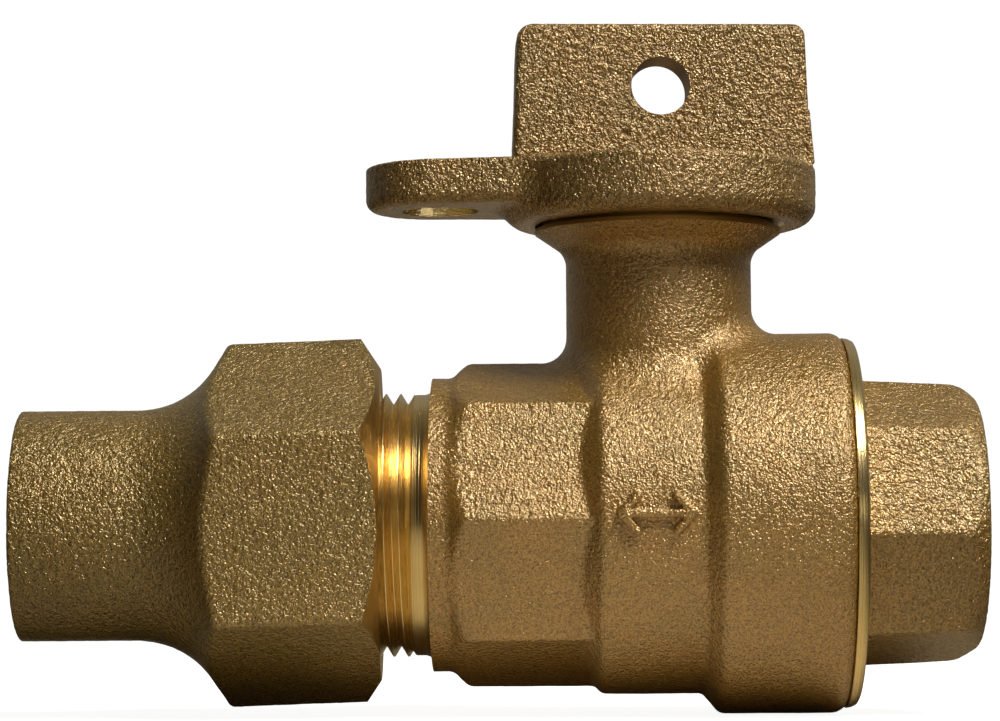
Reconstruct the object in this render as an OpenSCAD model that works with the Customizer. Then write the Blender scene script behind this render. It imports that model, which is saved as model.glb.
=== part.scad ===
// Quarter-turn bronze service ball valve: flare nut on one end, female pipe thread on the other,
// tee-head operator cap with a padlock wing. Straight pattern, 3/4 in. nominal size.
// Frame: origin at the centre of the ball, +X along the flow towards the pipe-thread end,
// +Z up along the stem. Millimetres. The valve is drawn open.

/* [Ball and port] */
// Ball diameter
ball_d = 31; // [30:0.1:31]
// Diameter of the water way through the valve
port_d = 18.5; // [17:0.1:19]
// Gap between ball and cavity wall
cavity_gap = 0.8; // [0.6:0.1:0.9]

/* [Body casting] */
// Outside diameter over the ball chamber
chamber_d = 46.8; // [46.4:0.1:49]
// Outside diameter of the middle barrel
barrel_d = 42; // [41:0.1:43]
// Corner-to-corner size of the wrench octagon
octagon_d = 40; // [39.5:0.1:40.8]
// Outside diameter of the as-cast collar behind the flare thread
collar_d = 36.2; // [35.5:0.1:36.6]
// Outside diameter of the stem neck
neck_d = 23; // [21:0.1:25]
// Rim diameter of the flared top of the neck
trumpet_d = 30.6; // [30:0.1:30.8]

/* [Flare end] */
// Major diameter of the flare thread
thread_d = 32.5; // [32:0.1:32.6]
// Thread pitch, 14 threads per inch
pitch = 1.8143; // [1.7:0.01:1.9]
// Corner-to-corner size of the flare nut
nut_corner_d = 45; // [44:0.1:47]
// Outside diameter of the nut's long neck
nut_neck_d = 28.6; // [27.5:0.1:30]
// Bore of the nut's neck, for 7/8 in. outside diameter copper tube
tube_bore_d = 22.5; // [22.3:0.1:23]
// Turn of the nut about its axis
nut_turn = 3.8; // [0:0.1:60]

/* [Pipe end] */
// Corner-to-corner size of the end piece's octagon
end_octagon_d = 34.8; // [34:0.1:36]
// Minor diameter of the female pipe thread
pipe_bore_d = 24.2; // [23.8:0.1:24.6]
// Outside diameter of the machined shoulder
shoulder_d = 45.4; // [44:0.1:46.4]
// Turn of the end piece about its axis
end_turn = 5.8; // [0:0.1:45]

/* [Operator] */
// Diameter of the stem where it turns in the neck
stem_d = 12; // [11.6:0.1:12.4]
// Outside diameter of the cap's disc
cap_d = 38.8; // [38:0.1:40]
// Width of the tee head at its base
tee_w = 37.2; // [34:0.1:37.6]
// Thickness of the tee head
tee_t = 7.4; // [7:0.1:9]
// Diameter of the handle hole in the tee head
tee_hole_d = 7.3; // [6.5:0.1:8]
// Distance of the padlock holes from the stem axis
wing_reach = 27.4; // [26.5:0.1:29]
// Diameter of the padlock holes
wing_hole_d = 9.5; // [8:0.1:10.5]
// How far past fully open the operator and ball are drawn, in degrees
rest_turn = 3; // [0:0.5:4]
// Radius of the wings' rounded ends
wing_end_r = 9.2; // [8:0.1:10]

/* [Hidden] */
$fn = 96;

rubber = [0.06, 0.06, 0.06];
white_plastic = [0.92, 0.92, 0.9];

ball_r = ball_d / 2;
port_r = port_d / 2;
cavity_r = ball_r + cavity_gap;
thread_r = thread_d / 2;
collar_r = collar_d / 2;
octagon_r = octagon_d / 2;
barrel_r = barrel_d / 2;
chamber_r = chamber_d / 2;
neck_r = neck_d / 2;
trumpet_r = trumpet_d / 2;
shoulder_r = shoulder_d / 2;
end_octagon_r = end_octagon_d / 2;
pipe_bore_r = pipe_bore_d / 2;
stem_r = stem_d / 2;
stem_bore_r = stem_r + 0.05;
cap_r = cap_d / 2;
over = 1; // how far most cuts run past the surface they open

// stations along the flow axis
x_nose = -48.4;         // tip of the body's flare cone
x_thread_a = -44.6;     // start of the flare thread
x_thread_b = -30.4;     // end of the flare thread
x_collar = -28.1;
x_octagon_a = -25.7;
x_octagon_b = -6;
x_body_end = 22.5;
x_shoulder = 23.9;
x_pipe_end = 38.9;

// thread between body and end piece
x_end_thread_a = 16.2;
x_end_thread_b = x_end_thread_a + 3 * pitch;
end_thread_depth = 1;
end_bore_r = 17.6;
spigot_r = 17.55;       // end piece's nose, in that bore
shoulder_gap = 0.02;    // between body end and shoulder

// stations up the stem axis
z_pocket_top = 17.85;   // ceiling of the stem collar's pocket
z_trumpet = 35.85;
z_rim_top = 37.15;
z_ring_top = 39.2;      // top of the body's stop ring
z_cap_low = 37.05;
z_cap_recess = 39.5;
z_cap_top = 44.2;
z_tee_top = 62;
z_tee_hole = 54.3;
z_pin = 41.3;
z_wing_low = 39.4;      // underside of the cap's wing
z_lug_low = 31.2;
z_lug_top = 36.6;

// quarter-turn stop: the cap's stop runs clockwise from open to closed
// between the ends of the body's stop
stop_a = 299.4;         // start of the cap's stop, as drawn
stop_b = 389.4;         // end of the cap's stop, as drawn
stop_play = 0.6;
travel = 90 + rest_turn;

// seats, their pockets and O-rings; x distances are from the ball's centre
seat_r_in = 9.4;
seat_r_out = 12.95;
seat_front = 9.8;
seat_back = 14.7;
seat_chamfer = 0.3;
seat_pocket_r = 13;
pocket_floor = 16.35;
seat_oring_x = seat_back + 0.82;

// O-ring groove round the end piece's nose
x_end_groove = 12.7;
end_groove_w = 2;
end_groove_r = 15.85;

// stem
stem_collar_r = 8.2;
z_stem_collar = 15.75;
z_washer = 16.98;
z_stem_grooves = [23, 29];
stem_groove_w = 1.9;
stem_groove_r = 4.65;
tang_size = [4.9, 10.8, 5];
slot_size = [5.2, 11.4, 10];  // the ball's slot for the tang
square_w = 8.4;
socket_w = square_w + 0.1;
pin_r = 1.2;
pin_hole_r = pin_r + 0.01;
x_pin_a = -7.1;         // inner end of the pin
tee_corner_r = 2.4;
tee_draft = 0.75;       // taken off each side of the tee by its top

// flare nut
x_nut_mouth = -34.6;
x_nut_thread = -50.4;
x_nut_hexagon = -57.8;
x_nut_end = -79.3;
nut_bore_r = 16.35;
nut_thread_r = 17.05;
x_sweep = -65;          // centre of the sweep between neck and hexagon
sweep_r = 11.9;

// V thread outline as [r, x] points; bands at both radii are a quarter pitch or less wide
function vees(x_from, x_to, crest_r, root_r) =
    let (turns = floor((x_to - x_from) / pitch), flat = pitch / 8)
    [for (i = [0:turns - 1]) let (x = x_from + i * pitch) each [
        [root_r, x + flat / 2],
        [crest_r, x + pitch / 2 - flat / 2],
        [crest_r, x + pitch / 2 + flat / 2],
        [root_r, x + pitch - flat / 2]]];

// turns an [r, x] outline about the flow axis
module lathe_x(points) { rotate([0, 90, 0]) rotate_extrude() polygon(points); }

// turns an [r, z] outline about the stem axis
module lathe_z(points) { rotate_extrude() polygon(points); }

module rod_x(radius, x_from, x_to, z = 0) {
    translate([x_from, 0, z]) rotate([0, 90, 0]) cylinder(r = radius, h = x_to - x_from);
}

module prism_x(corner_r, sides, x_from, x_to) {
    translate([x_from, 0, 0]) rotate([0, 90, 0])
        cylinder(r = corner_r, h = x_to - x_from, $fn = sides);
}

// O-rings about the flow axis and the stem axis
module ring_x(ring_r, wire_r, x) {
    translate([x, 0, 0]) rotate([0, 90, 0]) ring_z(ring_r, wire_r, 0);
}
module ring_z(ring_r, wire_r, z) {
    translate([0, 0, z]) rotate_extrude() translate([ring_r, 0]) circle(r = wire_r);
}

// part of a ring between two angles
module sector_z(inner_r, outer_r, angle_from, angle_to, z_from, z_to) {
    translate([0, 0, z_from]) rotate([0, 0, angle_from])
        rotate_extrude(angle = angle_to - angle_from)
            translate([inner_r, 0]) square([outer_r - inner_r, z_to - z_from]);
}

// box centred on the stem axis
module block(size, z_low) { translate([-size[0] / 2, -size[1] / 2, z_low]) cube(size); }

// plan of a padlock wing that points along -X and runs into a disc
module wing_plan(root_x, root_half) {
    end_half = wing_end_r * 0.975;
    mid_half = root_half * 0.6;
    union() {
        translate([-wing_reach, 0]) circle(r = wing_end_r);
        polygon([[-wing_reach, end_half], [-root_x, root_half], [0, mid_half],
            [0, -mid_half], [-root_x, -root_half], [-wing_reach, -end_half]]);
    }
}

// flare cone and thread, collar, wrench octagon, barrel and ball chamber; outlines are [r, x]
module body_barrel() {
    lathe_x(concat(
        [[0, x_nose], [port_r + 1.2, x_nose], [14.4, x_thread_a]],
        vees(x_thread_a, x_thread_b, thread_r, thread_r - 1.25),
        [[thread_r, x_thread_b], [thread_r, x_collar - 0.9],
            [thread_r + 0.5, x_collar], [0, x_collar]]));
    lathe_x([[0, x_collar], [collar_r, x_collar], [collar_r, -7], [0, -7]]);
    intersection() {
        prism_x(octagon_r, 8, x_octagon_a, x_octagon_b);
        lathe_x([[0, x_octagon_a], [collar_r - 0.4, x_octagon_a], [octagon_r + 0.2, -23.3],
            [octagon_r + 0.2, x_octagon_b], [0, x_octagon_b]]);
    }
    lathe_x([[0, -10.2], [18, -10.2], [barrel_r, -6.9], [barrel_r, 5], [chamber_r, 7.6],
        [chamber_r, x_body_end - 0.6], [chamber_r - 0.6, x_body_end], [0, x_body_end]]);
}

// neck with its flared top and stop ring, and the body's stop; outline is [r, z]
module body_neck() {
    stop_ring_r = 13.2;
    lathe_z([[0, 0], [neck_r, 0], [neck_r, 32.5], [neck_r + 0.15, 33.1], [neck_r + 0.8, 33.9],
        [trumpet_r, z_trumpet], [trumpet_r, z_rim_top], [stop_ring_r, z_rim_top],
        [stop_ring_r, z_ring_top], [0, z_ring_top]]);
    sector_z(12.5, 15.2, stop_b + stop_play, stop_a - travel - stop_play + 360,
        z_trumpet, z_ring_top);
}

// fixed padlock lug, pointing along +Y from the neck
module body_lug() {
    difference() {
        translate([0, 0, z_lug_low]) linear_extrude(height = z_lug_top - z_lug_low)
            rotate([0, 0, -90]) wing_plan(root_x = 13, root_half = 9.6);
        translate([0, wing_reach, z_lug_low - over]) cylinder(d = wing_hole_d, h = 10);
    }
}

module valve_body() color([0.55, 0.42, 0.24]) difference() {
    union() {
        body_barrel();
        body_neck();
        body_lug();
    }
    // water way, flare-side seat pocket, ball cavity
    rod_x(port_r, x_nose - over, 0);
    rod_x(seat_pocket_r, -pocket_floor, -9);
    sphere(r = cavity_r);
    // bore and thread for the end piece
    crest_r = 19.4;
    lathe_x(concat(
        [[0, 0], [cavity_r, 0], [cavity_r, 11.5], [end_bore_r, 11.5], [end_bore_r, x_end_thread_a]],
        vees(x_end_thread_a, x_end_thread_b, crest_r, crest_r - end_thread_depth),
        [[crest_r, x_end_thread_b], [crest_r, x_body_end + over], [0, x_body_end + over]]));
    // stem bore and collar pocket
    cylinder(r = 8.5, h = z_pocket_top);
    cylinder(r = stem_bore_r, h = 60);
}

module end_piece() color([0.56, 0.42, 0.25]) difference() {
    crest_r = 19.2;
    root_r = crest_r - end_thread_depth;
    x_face = x_body_end + shoulder_gap;
    x_groove_b = x_end_groove + end_groove_w;
    union() {
        // grooved nose, thread and shoulder
        lathe_x(concat(
            [[0, 11.6], [17.2, 11.6], [spigot_r, 12], [spigot_r, x_end_groove],
                [end_groove_r, x_end_groove], [end_groove_r, x_groove_b],
                [spigot_r, x_groove_b], [spigot_r, 16.22]],
            vees(x_end_thread_a, x_end_thread_b, crest_r, root_r),
            [[root_r, x_face], [shoulder_r, x_face], [shoulder_r, x_shoulder - 0.3],
                [shoulder_r - 0.3, x_shoulder], [0, x_shoulder]]));
        // octagon, its outer end rounded down
        rotate([end_turn, 0, 0]) intersection() {
            prism_x(end_octagon_r, 8, 23, x_pipe_end);
            lathe_x([[0, 23], [end_octagon_r + 0.3, 23], [end_octagon_r - 0.3, 36.8],
                [15.2, x_pipe_end], [0, x_pipe_end]]);
        }
    }
    // water way, seat pocket, pipe bore and its chamfer
    rod_x(port_r, 11, 40);
    rod_x(seat_pocket_r, 11, pocket_floor);
    rod_x(pipe_bore_r, 24.6, 40);
    chamfer = 1.6;
    translate([x_pipe_end - chamfer / 2, 0, 0]) rotate([0, 90, 0])
        cylinder(r1 = pipe_bore_r, r2 = pipe_bore_r + chamfer, h = chamfer);
}

module end_piece_oring() color(rubber) ring_x(16.72, 0.84, x_end_groove + end_groove_w / 2);

// seat on the +X side, hollowed to fit the ball
module seat() {
    difference() {
        lathe_x([[seat_r_in, seat_front], [seat_r_out - seat_chamfer, seat_front],
            [seat_r_out, seat_front + seat_chamfer], [seat_r_out, seat_back],
            [seat_r_in, seat_back]]);
        sphere(r = ball_r + 0.03);
    }
}
module seat_oring(x) { ring_x(11.9, 0.78, x); }
module flare_side_seat() color(white_plastic) mirror([1, 0, 0]) seat();
module pipe_side_seat() color(white_plastic) seat();
module flare_side_seat_oring() color(rubber) seat_oring(-seat_oring_x);
module pipe_side_seat_oring() color(rubber) seat_oring(seat_oring_x);

module ball() color([0.8, 0.8, 0.8]) rotate([0, 0, rest_turn]) difference() {
    sphere(r = ball_r);
    rod_x(port_r, -20, 20);
    block(slot_size, 11);
}

module stem() color([0.78, 0.62, 0.3]) rotate([0, 0, rest_turn]) difference() {
    z_collar_b = 16.95;
    union() {
        // tang in the ball's slot
        intersection() {
            block(tang_size, 11.2);
            translate([0, 0, 11]) cylinder(r = stem_r - 0.3, h = 6);
        }
        // collar and grooved shaft
        lathe_z(concat(
            [[0, z_stem_collar], [stem_collar_r, z_stem_collar],
                [stem_collar_r, z_collar_b], [stem_r, z_collar_b]],
            [for (z = z_stem_grooves) each [[stem_r, z], [stem_groove_r, z],
                [stem_groove_r, z + stem_groove_w], [stem_r, z + stem_groove_w]]],
            [[stem_r, 38.6], [stem_r - 0.4, 39], [0, 39]]));
        // square in the cap's socket
        intersection() {
            block([square_w, square_w, 4.5], 38.5);
            translate([0, 0, 38]) cylinder(r = stem_r - 0.2, h = 6);
        }
    }
    rod_x(pin_hole_r, -10, 10, z_pin);
}

module stem_thrust_washer() color(white_plastic) difference() {
    translate([0, 0, z_washer]) cylinder(r = stem_collar_r, h = 0.84);
    translate([0, 0, 16]) cylinder(r = stem_bore_r, h = 3);
}

module stem_oring(z_groove) { ring_z(5.34, 0.68, z_groove + stem_groove_w / 2); }
module stem_oring_lower() color(rubber) stem_oring(z_stem_grooves[0]);
module stem_oring_upper() color(rubber) stem_oring(z_stem_grooves[1]);

// rounded top corner of the tee, as [x, z] points
function tee_corner(x, angle_from, angle_to) =
    [for (i = [0:8]) let (angle = angle_from + (angle_to - angle_from) * i / 8)
        [x + tee_corner_r * cos(angle), z_tee_top - tee_corner_r + tee_corner_r * sin(angle)]];

// tee head outline in the XZ plane, drafted, with rounded top corners
function tee_outline() =
    let (base_half = tee_w / 2, corner_x = base_half - tee_draft - tee_corner_r,
        z_base = z_cap_top - 2)
    concat([[-base_half, z_base]], tee_corner(-corner_x, 180, 90),
        tee_corner(corner_x, 90, 0), [[base_half, z_base]]);

module lockwing_cap() color([0.52, 0.38, 0.22]) rotate([0, 0, rest_turn]) difference() {
    // disc, tee head and padlock wing
    union() {
        lathe_z([[0, z_cap_low], [cap_r - 1.6, z_cap_low], [cap_r - 0.5, z_cap_low + 0.6],
            [cap_r, z_cap_low + 1.8], [cap_r, z_cap_top - 0.6], [cap_r - 0.6, z_cap_top],
            [0, z_cap_top]]);
        translate([0, tee_t / 2, 0]) rotate([90, 0, 0])
            linear_extrude(height = tee_t) polygon(tee_outline());
        translate([0, 0, z_wing_low]) linear_extrude(height = z_cap_top - z_wing_low)
            wing_plan(root_x = 16.5, root_half = 11.4);
    }
    // recess over the body's stop ring, with the cap's own stop left standing
    difference() {
        translate([0, 0, z_cap_low - 2]) cylinder(r = 15.6, h = z_cap_recess - z_cap_low + 2);
        sector_z(13.5, 17, stop_a - rest_turn, stop_b - rest_turn,
            z_rim_top + 0.1, z_cap_recess + over);
    }
    // socket for the stem's square, pin hole, padlock hole, handle hole
    block([socket_w, socket_w, 4.6], z_cap_recess - over);
    rod_x(pin_hole_r, x_pin_a - 0.1, 25, z_pin);
    translate([-wing_reach, 0, 30]) cylinder(d = wing_hole_d, h = 20);
    translate([0, -20, z_tee_hole]) rotate([-90, 0, 0]) cylinder(d = tee_hole_d, h = 40);
}

module cap_pin() color([0.7, 0.7, 0.68]) rotate([0, 0, rest_turn])
    rod_x(pin_r, x_pin_a, cap_r - 0.15, z_pin);

// [r, x] point on the sweep from the nut's neck out to its hexagon
function sweep(angle) =
    [nut_neck_d / 2 + sweep_r + sweep_r * sin(angle), x_sweep + sweep_r * cos(angle)];

module flare_nut() color([0.5, 0.4, 0.22]) difference() {
    neck_r = nut_neck_d / 2;
    rim_r = nut_corner_d / 2 + 0.3;
    bore_r = tube_bore_d / 2;
    union() {
        // long neck and the start of its sweep
        lathe_x(concat([[0, x_nut_end], [neck_r - 0.6, x_nut_end], [neck_r, x_nut_end + 0.6]],
            [for (a = [-90:5.5:-51.5]) sweep(a)], [[0, -57.3]]));
        // hexagon, trimmed by the rest of the sweep and a bevel at the mouth
        rotate([nut_turn, 0, 0]) intersection() {
            prism_x(nut_corner_d / 2, 6, x_nut_hexagon, x_nut_mouth);
            lathe_x(concat([[0, x_nut_hexagon]], [for (a = [-53:5:-18]) sweep(a)],
                [[rim_r, -53.5], [rim_r, -36.6], [19.4, x_nut_mouth], [0, x_nut_mouth]]));
        }
    }
    // tube bore, flare seat, thread
    rod_x(bore_r, x_nut_end - over, -50);
    lathe_x(concat([[0, -55.5], [bore_r, -55.5], [bore_r + 5.1, x_nut_thread]],
        vees(x_nut_thread, x_nut_thread + 8 * pitch, nut_thread_r, nut_bore_r),
        [[nut_bore_r, x_nut_mouth - 1.2], [17.8, x_nut_mouth + 0.1], [0, x_nut_mouth + 0.1]]));
}

valve_body();
end_piece();
end_piece_oring();
flare_side_seat();
flare_side_seat_oring();
pipe_side_seat();
pipe_side_seat_oring();
ball();
stem();
stem_thrust_washer();
stem_oring_lower();
stem_oring_upper();
lockwing_cap();
cap_pin();
flare_nut();
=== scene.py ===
"""A cast bronze quarter-turn ball valve: flare nut, body, end piece and tee-head cap as sand-cast meshes with
machined faces, threads and holes cut into them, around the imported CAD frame. Lengths below are millimetres until
a mesh is made."""
import math
import time

import bpy
import numpy as np
from mathutils import Matrix, Vector


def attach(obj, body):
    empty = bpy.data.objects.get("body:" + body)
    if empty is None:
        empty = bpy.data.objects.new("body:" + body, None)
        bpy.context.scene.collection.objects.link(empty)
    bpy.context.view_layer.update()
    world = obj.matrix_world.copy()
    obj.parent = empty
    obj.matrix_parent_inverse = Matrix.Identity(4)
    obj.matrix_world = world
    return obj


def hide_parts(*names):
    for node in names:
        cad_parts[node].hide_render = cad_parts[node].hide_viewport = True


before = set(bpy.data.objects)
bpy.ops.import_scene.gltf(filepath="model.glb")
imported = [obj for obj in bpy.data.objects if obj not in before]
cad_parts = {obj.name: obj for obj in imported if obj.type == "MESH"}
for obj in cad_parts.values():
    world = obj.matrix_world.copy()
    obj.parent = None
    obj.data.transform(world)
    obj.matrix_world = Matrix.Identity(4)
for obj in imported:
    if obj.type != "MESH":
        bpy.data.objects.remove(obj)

T0 = time.time()
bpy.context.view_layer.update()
MM = 0.001
F = np.float32


def note(text):
    print(f"[{time.time() - T0:6.1f} s] {text}", flush=True)


# ---------------------------------------------------------------- distance fields

def rot2(a, b, degrees):
    c, s = math.cos(math.radians(degrees)), math.sin(math.radians(degrees))
    return c * a - s * b, s * a + c * b


def box2(u, v, hu, hv, e=0.0):
    """Distance to a rectangle of half sizes hu, hv with corners rounded by e."""
    du, dv = np.abs(u) - (hu - e), np.abs(v) - (hv - e)
    return np.minimum(np.maximum(du, dv), 0) + np.hypot(np.maximum(du, 0), np.maximum(dv, 0)) - e


def join(a, b, r=0.0):
    """Union with a round fillet of radius r."""
    if r <= 0:
        return np.minimum(a, b)
    return np.maximum(r, np.minimum(a, b)) - np.hypot(np.maximum(r - a, 0), np.maximum(r - b, 0))


def meet(a, b, r=0.0):
    """Intersection with its edge rounded by r."""
    if r <= 0:
        return np.maximum(a, b)
    return np.minimum(-r, np.maximum(a, b)) + np.hypot(np.maximum(r + a, 0), np.maximum(r + b, 0))


def ngon(a, b, n, corner_r, turn, e):
    """Distance to a regular n-gon; turn is the angle of a corner in degrees, e rounds the corners."""
    half = math.pi / n
    rho, phi = np.hypot(a, b), np.arctan2(b, a)
    phi = np.mod(phi - math.radians(turn), 2 * half) - half
    u = rho * np.cos(phi) - (corner_r * math.cos(half) - e)
    t = np.abs(rho * np.sin(phi)) - (corner_r * math.cos(half) - e) * math.tan(half)
    return np.where(t > 0, np.hypot(u, np.maximum(t, 0)), u) - e


def slope(u, v, u0, v0, u1, v1):
    """Distance to the line from (u0, v0) to (u1, v1), negative on the right-hand side of its direction."""
    n = math.hypot(u1 - u0, v1 - v0)
    return (-(v1 - v0) * (u - u0) + (u1 - u0) * (v - v0)) / n


# ---------------------------------------------------------------- noise on points

def _hash(i, j, k, seed):
    h = (i.astype(np.uint32) * np.uint32(374761393) + j.astype(np.uint32) * np.uint32(668265263)
         + k.astype(np.uint32) * np.uint32(2147483647) + np.uint32(seed * 974711 + 12345))
    h = (h ^ (h >> np.uint32(13))) * np.uint32(1274126177)
    h ^= h >> np.uint32(16)
    h = h * np.uint32(2246822519)
    return h ^ (h >> np.uint32(15))


def gnoise(p, size, seed):
    """Gradient noise, about -1 to 1, with features of the given size."""
    q = p / size
    c = np.floor(q).astype(np.int64)
    f = (q - c).astype(F)
    w = f * f * f * (f * (f * 6 - 15) + 10)
    out = np.zeros(len(p), F)
    for n in range(8):
        o = np.array([n & 1, n >> 1 & 1, n >> 2 & 1])
        h = _hash(*(c + o).T, seed)
        gx = (h & np.uint32(1023)).astype(F) / 511.5 - 1
        gy = (h >> np.uint32(10) & np.uint32(1023)).astype(F) / 511.5 - 1
        gz = (h >> np.uint32(20) & np.uint32(1023)).astype(F) / 511.5 - 1
        d = f - o
        out += (gx * d[:, 0] + gy * d[:, 1] + gz * d[:, 2]) * np.prod(np.where(o, w, 1 - w), 1)
    return out * 1.5


def cells(p, size, seed):
    """Distance to the nearest of one scattered point per cell, in cell sizes."""
    q = p / size
    c = np.floor(q).astype(np.int64)
    best = np.full(len(p), 9.0, F)
    for i in (-1, 0, 1):
        for j in (-1, 0, 1):
            for k in (-1, 0, 1):
                o = c + np.array([i, j, k])
                h = _hash(*o.T, seed)
                s = np.stack([(h >> np.uint32(b) & np.uint32(1023)).astype(F) / 1023 for b in (0, 10, 20)], 1)
                best = np.minimum(best, ((o + s - q) ** 2).sum(1).astype(F))
    return np.sqrt(best)


# ---------------------------------------------------------------- distance field to mesh

def surface(field, low, high, h, name):
    """A closed mesh of field == 0 by surface nets on a grid of step h, with its points pulled on to the surface."""
    low, high = np.array(low, float) - 2 * h, np.array(high, float) + 2 * h
    n = (np.ceil((high - low) / (4 * h)).astype(int)) * 4
    coarse = 4 * h
    cc = [low[a] + coarse * (np.arange(n[a] // 4) + 0.5) - h / 2 for a in range(3)]
    X, Y, Z = np.meshgrid(*[c.astype(F) for c in cc], indexing="ij")
    dc = field(X.ravel(), Y.ravel(), Z.ravel()).reshape(X.shape)
    near = np.abs(dc) < coarse * 0.87 + 0.9
    D = np.repeat(np.repeat(np.repeat(np.where(dc < 0, F(-9), F(9)), 4, 0), 4, 1), 4, 2)
    bi, bj, bk = np.nonzero(near)
    off = np.stack(np.meshgrid(*[np.arange(4)] * 3, indexing="ij"), -1).reshape(-1, 3)
    I = (np.stack([bi, bj, bk], 1)[:, None, :] * 4 + off[None]).reshape(-1, 3)
    P = (low + I * h).astype(F)
    D[I[:, 0], I[:, 1], I[:, 2]] = field(P[:, 0], P[:, 1], P[:, 2])
    s = D < 0
    cnt = np.zeros(tuple(k - 1 for k in D.shape), np.int8)
    for di in (0, 1):
        for dj in (0, 1):
            for dk in (0, 1):
                cnt += s[di:D.shape[0] - 1 + di, dj:D.shape[1] - 1 + dj, dk:D.shape[2] - 1 + dk]
    act = (cnt > 0) & (cnt < 8)
    ci = np.stack(np.nonzero(act), 1)
    index = np.full(act.shape, -1, np.int32)
    index[act] = np.arange(len(ci), dtype=np.int32)
    corner = np.array([[i, j, k] for i in (0, 1) for j in (0, 1) for k in (0, 1)])
    val = np.stack([D[tuple((ci + c).T)] for c in corner], 1)
    acc, num = np.zeros((len(ci), 3)), np.zeros(len(ci))
    for a in range(8):
        for b in range(a + 1, 8):
            if np.abs(corner[a] - corner[b]).sum() != 1:
                continue
            m = (val[:, a] < 0) != (val[:, b] < 0)
            t = np.where(m, val[:, a] / np.where(m, val[:, a] - val[:, b], 1), 0)
            acc += m[:, None] * (corner[a] + t[:, None] * (corner[b] - corner[a]))
            num += m
    v = (low + (ci + acc / num[:, None]) * h)
    for _ in range(2):
        p = v.astype(F)
        d = field(p[:, 0], p[:, 1], p[:, 2])
        g = gradient(field, v, h * 0.4)
        step = np.clip(d, -0.3 * h, 0.3 * h)
        v = v - g * step[:, None]
    quads = []
    for ax in range(3):
        u, w = [(1, 2), (2, 0), (0, 1)][ax]
        a = np.take(s, range(0, s.shape[ax] - 1), ax)
        b = np.take(s, range(1, s.shape[ax]), ax)
        e = np.stack(np.nonzero(a != b), 1)
        e = e[(e[:, u] > 0) & (e[:, w] > 0)]
        inside = s[tuple(e.T)]
        q = []
        for du, dw in ((1, 1), (0, 1), (0, 0), (1, 0)):
            c = e.copy()
            c[:, u] -= du
            c[:, w] -= dw
            q.append(index[tuple(c.T)])
        q = np.stack(q, 1)
        q[~inside] = q[~inside][:, ::-1]
        quads.append(q)
    return v, np.concatenate(quads)


def gradient(field, v, e):
    g = np.zeros((len(v), 3))
    for a in range(3):
        hi, lo = v.copy(), v.copy()
        hi[:, a] += e
        lo[:, a] -= e
        hi, lo = hi.astype(F), lo.astype(F)
        g[:, a] = field(hi[:, 0], hi[:, 1], hi[:, 2]) - field(lo[:, 0], lo[:, 1], lo[:, 2])
    return g / np.maximum(np.linalg.norm(g, axis=1), 1e-9)[:, None]


def make_object(name, v, faces, mats, index=0):
    """A mesh object from millimetre vertices; faces is an array of quads or a list of tuples."""
    me = bpy.data.meshes.new(name)
    v = np.asarray(v, float) * MM
    if isinstance(faces, np.ndarray):
        me.vertices.add(len(v))
        me.vertices.foreach_set("co", v.astype(F).ravel())
        k = faces.shape[1]
        me.loops.add(faces.size)
        me.loops.foreach_set("vertex_index", faces.astype(np.int32).ravel())
        me.polygons.add(len(faces))
        me.polygons.foreach_set("loop_start", np.arange(len(faces), dtype=np.int32) * k)
    else:
        me.from_pydata([tuple(p) for p in v], [], faces)
    for m in mats:
        me.materials.append(m)
    me.polygons.foreach_set("material_index", np.full(len(me.polygons), index, np.int32))
    me.update(calc_edges=True)
    me.validate()
    ob = bpy.data.objects.new(name, me)
    bpy.context.scene.collection.objects.link(ob)
    return ob


# ---------------------------------------------------------------- turned and threaded tools

def arcpts(cx, cr, r, a0, a1, n):
    return [(cx + r * math.cos(math.radians(a0 + (a1 - a0) * i / n)), cr + r * math.sin(math.radians(a0 + (a1 - a0) * i / n)))
            for i in range(n + 1)]


def lathe(name, profile, mats, n=160, axis="x", index=1, centre=(0, 0, 0), span=None):
    """A closed solid turned from (along, radius) points. A profile that starts and ends on the axis is a plain solid,
    any other is a closed ring. span limits it to a sector, in degrees, about the axis."""
    prof = list(profile)
    on_axis = abs(prof[0][1]) < 1e-9 and abs(prof[-1][1]) < 1e-9
    body = prof[1:-1] if on_axis else prof
    m = len(body)
    full = span is None
    a = np.linspace(0, 2 * math.pi, n, endpoint=False) if full else np.radians(np.linspace(span[0], span[1], n))
    verts, faces = [], []
    for x, r in body:
        for t in a:
            verts.append((x, r * math.cos(t), r * math.sin(t)))
    cols = n if full else n - 1
    rows = m - 1 if on_axis else m
    for j in range(rows):
        for i in range(cols):
            p, q = j * n + i, j * n + (i + 1) % n
            r_, s_ = ((j + 1) % m) * n + (i + 1) % n, ((j + 1) % m) * n + i
            faces.append((p, q, r_, s_))
    if on_axis:
        verts += [(prof[0][0], 0, 0), (prof[-1][0], 0, 0)]
        c0, c1 = len(verts) - 2, len(verts) - 1
        for i in range(n):
            faces.append((c0, (i + 1) % n, i))
            faces.append((c1, (m - 1) * n + i, (m - 1) * n + (i + 1) % n))
    elif not full:
        faces.append(tuple(j * n for j in range(m)))
        faces.append(tuple(j * n + n - 1 for j in reversed(range(m))))
    v = np.array(verts)
    if axis == "z":
        v = v[:, [1, 2, 0]]
    elif axis == "y":
        v = v[:, [2, 0, 1]]
    v = v + np.array(centre)
    ob = make_object(name, v, faces, mats, index)
    return outward(ob)


def outward(ob):
    """Turns all faces outward."""
    import bmesh
    bm = bmesh.new()
    bm.from_mesh(ob.data)
    bmesh.ops.recalc_face_normals(bm, faces=bm.faces)
    if bm.calc_volume(signed=True) < 0:
        bmesh.ops.reverse_faces(bm, faces=bm.faces)
    bm.to_mesh(ob.data)
    bm.free()
    return ob


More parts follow.
